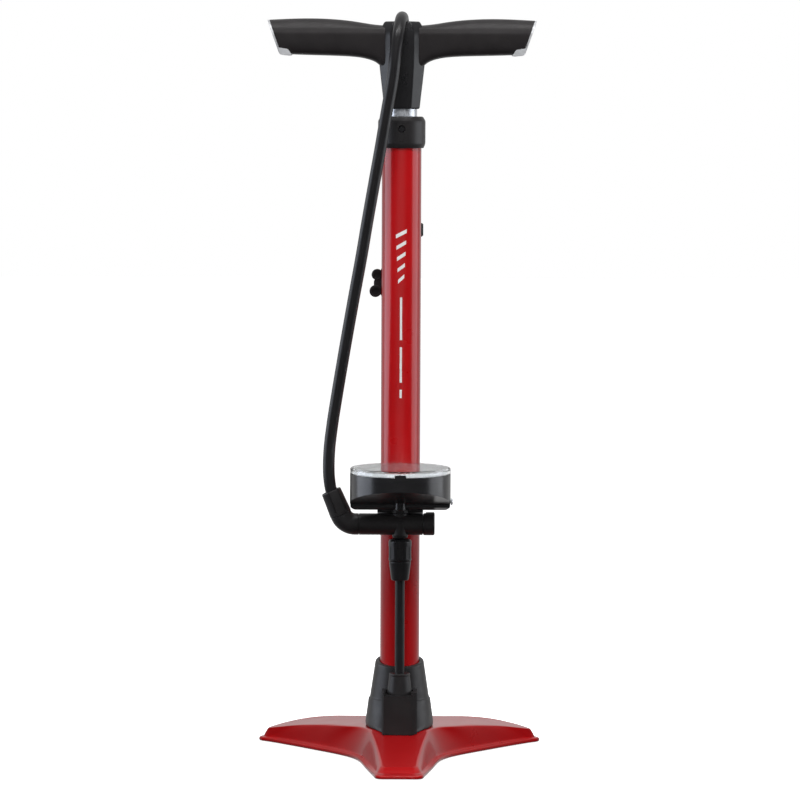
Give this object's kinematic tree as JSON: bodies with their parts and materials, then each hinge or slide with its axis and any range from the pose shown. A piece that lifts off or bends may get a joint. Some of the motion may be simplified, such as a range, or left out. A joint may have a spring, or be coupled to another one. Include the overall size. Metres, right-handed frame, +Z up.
{
  "type": "floor bike pump",
  "caption": "Floor bicycle pump: red steel barrel on a tripod foot, T handle on a sliding rod, front gauge and valve body, hose stored over the handle.",
  "frame": {"origin": "floor level, under the middle of the box of the pump without its hose and head", "axes": "+Z up along the barrel, -Y towards the gauge, +X towards the selector knob"},
  "size_m": [0.2446, 0.2072, 0.6313],
  "materials": {
    "red_paint": "glossy enamel",
    "black_plastic": "satin moulded nylon",
    "soft_grip": "satin soft-touch",
    "hose_rubber": "smooth semi-gloss",
    "seal_rubber": "matt",
    "polished_steel": "polished",
    "steel": "zinc plated",
    "aluminium": "satin anodised",
    "brass": "machined",
    "dial_white": "printed card",
    "pointer": "painted",
    "bearing_white": "acetal",
    "clear_lens": "clear moulded"
  },
  "bodies": {
    "stand": {"base_plate": "red_paint", "foot_pad_left": "seal_rubber", "foot_pad_right": "seal_rubber", "foot_pad_front": "seal_rubber", "base_screw_1": "steel", "base_screw_2": "steel", "base_screw_3": "steel", "foot_plug": "aluminium", "barrel_gasket": "seal_rubber", "valve_seat": "brass", "valve_spring": "steel", "base_boot": "black_plastic", "short_hose": "hose_rubber", "lower_sleeve": "black_plastic", "lower_nut": "black_plastic", "barrel_tube": "red_paint", "top_cap": "black_plastic", "cap_screw": "steel", "rod_bushing": "bearing_white", "rod_wiper": "seal_rubber", "holder_saddle": "red_paint", "gauge_bracket": "black_plastic", "bracket_screw": "steel", "manifold_body": "black_plastic", "gauge_post": "black_plastic", "selector_oring": "seal_rubber", "hose_elbow": "black_plastic", "elbow_nut": "black_plastic", "gauge_housing": "black_plastic", "gauge_side_screw": "polished_steel", "bourdon_tube": "brass", "gauge_movement": "brass", "gauge_dial": "dial_white", "gauge_lens": "clear_lens", "main_hose": "hose_rubber", "head_body": "black_plastic", "head_grommet": "seal_rubber", "head_nut": "black_plastic", "lever_pin": "steel", "head_holder": "black_plastic", "holder_screw_1": "steel", "holder_screw_2": "steel"},
    "plunger": {"piston_rod": "polished_steel", "piston_head": "black_plastic", "piston_seal": "seal_rubber", "handle_hub": "black_plastic", "rod_plug": "aluminium", "handle_bolt": "steel", "grip_left": "soft_grip", "grip_right": "soft_grip", "end_cap_left": "aluminium", "end_cap_right": "aluminium"},
    "selector": {"selector_stem": "brass", "selector_knob": "black_plastic"},
    "needle": {"gauge_needle": "pointer"},
    "lever": {"head_lever": "black_plastic"},
    "poppet": {"valve_poppet": "brass"}
  },
  "joints": [
    {"name": "rod_slide", "type": "slide", "parent": "stand", "child": "plunger", "axis": [0, 0, 1], "range_m": [0, 0.42], "deforming": ["main_hose"]},
    {"name": "outlet_valve_slide", "type": "slide", "parent": "stand", "child": "poppet", "axis": [0, 0, -1], "range_m": [0, 0.0018], "stiffness_N_per_m": 60, "springref_m": -0.004, "deforming": ["valve_spring"]},
    {"name": "needle_turn", "type": "hinge", "parent": "stand", "child": "needle", "pos_m": [0, -0.03595, 0.2434], "axis": [0, 0, -1], "range_deg": [0, 270], "stiffness_Nm_per_rad": 0.0004, "springref_deg": -17.19},
    {"name": "selector_turn", "type": "hinge", "parent": "stand", "child": "selector", "pos_m": [0.02, -0.00495, 0.2008], "axis": [1, 0, 0], "range_deg": [0, 90]},
    {"name": "lever_turn", "type": "hinge", "parent": "stand", "child": "lever", "pos_m": [-0.013, 0.05405, 0.4469], "axis": [0, 1, 0], "range_deg": [0, 90]}
  ]
}
